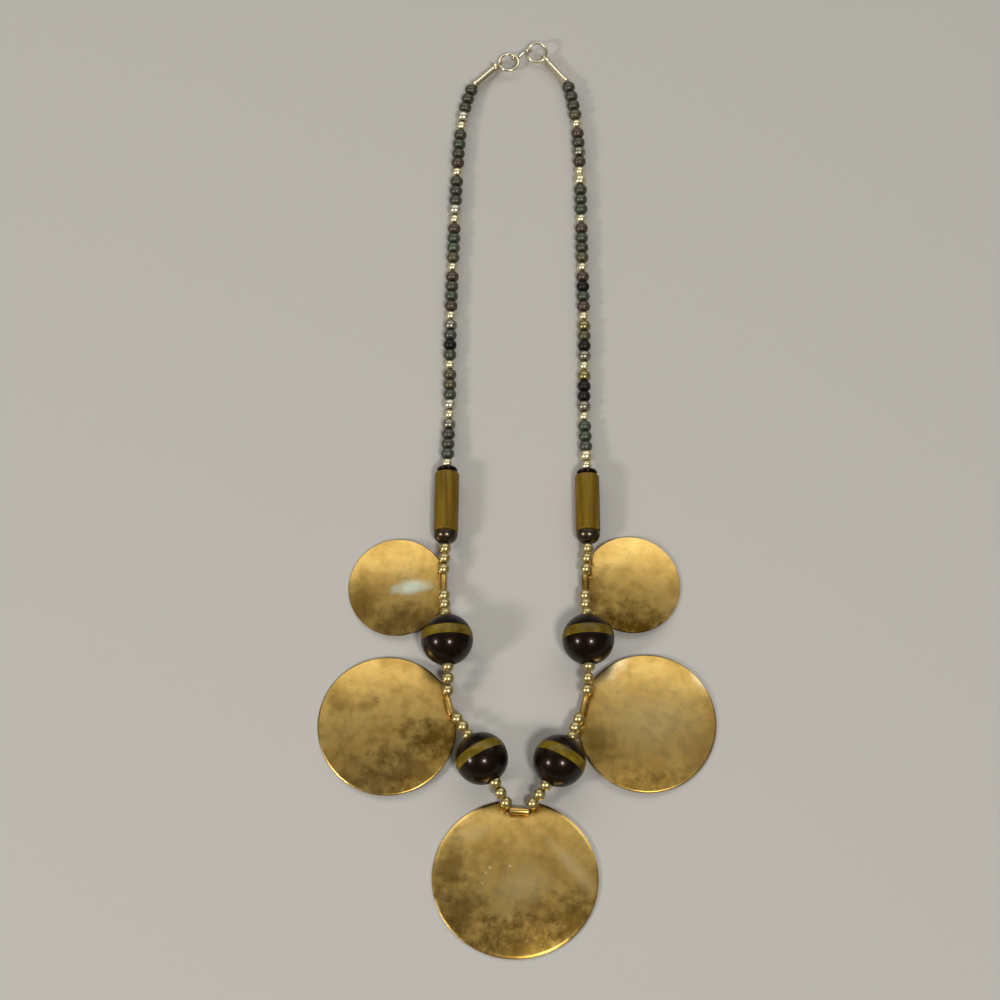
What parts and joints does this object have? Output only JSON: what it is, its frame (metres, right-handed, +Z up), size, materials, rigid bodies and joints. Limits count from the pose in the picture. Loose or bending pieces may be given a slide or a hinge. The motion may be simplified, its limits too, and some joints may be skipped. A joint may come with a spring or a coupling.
{
  "type": "bib necklace",
  "caption": "Bib necklace laid flat: domed brass discs and banded black beads on brass balls, with strands of small dark beads up to a hook-and-ring clasp.",
  "frame": {"origin": "on the surface the necklace lies on, under the middle of its outline", "axes": "+Y from the largest disc up to the clasp, +X to the wearer's left as seen from above, +Z up, off the surface"},
  "size_m": [0.1102, 0.2802, 0.0145],
  "materials": {
    "disc_brass": "thin sheet brass, warm gold with olive tarnish, satin polish",
    "ball_brass": "polished brass, bright",
    "black_bead": "black resin with a warm brown depth, high polish",
    "horn": "olive-brown horn or resin, lengthwise streaks, polished",
    "jet": "black, glossy",
    "dark_metal": "blackened metal with a polished face",
    "seed_glass": "small dark green-black glass beads with metal beads between, glossy and opaque",
    "pale_metal": "pale gold-silver plated brass, polished"
  },
  "bodies": {
    "root": {"large_disc": "disc_brass", "left_medium_disc": "disc_brass", "left_small_disc": "disc_brass", "left_lower_bead": "black_bead", "left_lower_band": "horn", "left_upper_bead": "black_bead", "left_upper_band": "horn", "left_brass_ball_01": "ball_brass", "left_brass_ball_02": "ball_brass", "left_brass_ball_03": "ball_brass", "left_brass_ball_04": "ball_brass", "left_brass_ball_05": "ball_brass", "left_brass_ball_06": "ball_brass", "left_brass_ball_07": "ball_brass", "left_brass_ball_08": "ball_brass", "left_brass_ball_09": "ball_brass", "left_brass_ball_10": "ball_brass", "left_brass_ball_11": "ball_brass", "left_brass_ball_12": "ball_brass", "left_brass_ball_13": "ball_brass", "left_brass_ball_14": "ball_brass", "left_brass_ball_15": "ball_brass", "left_dome_cap": "dark_metal", "left_tube": "horn", "left_black_spacer": "jet", "left_strand": "seed_glass", "left_cord_end": "pale_metal", "left_ring": "pale_metal", "right_medium_disc": "disc_brass", "right_small_disc": "disc_brass", "right_lower_bead": "black_bead", "right_lower_band": "horn", "right_upper_bead": "black_bead", "right_upper_band": "horn", "right_brass_ball_01": "ball_brass", "right_brass_ball_02": "ball_brass", "right_brass_ball_03": "ball_brass", "right_brass_ball_04": "ball_brass", "right_brass_ball_05": "ball_brass", "right_brass_ball_06": "ball_brass", "right_brass_ball_07": "ball_brass", "right_brass_ball_08": "ball_brass", "right_brass_ball_09": "ball_brass", "right_brass_ball_10": "ball_brass", "right_brass_ball_11": "ball_brass", "right_brass_ball_12": "ball_brass", "right_brass_ball_13": "ball_brass", "right_brass_ball_14": "ball_brass", "right_brass_ball_15": "ball_brass", "right_dome_cap": "dark_metal", "right_tube": "horn", "right_black_spacer": "jet", "right_strand": "seed_glass", "right_cord_end": "pale_metal", "right_ring": "pale_metal", "hook": "pale_metal"}
  },
  "joints": []
}
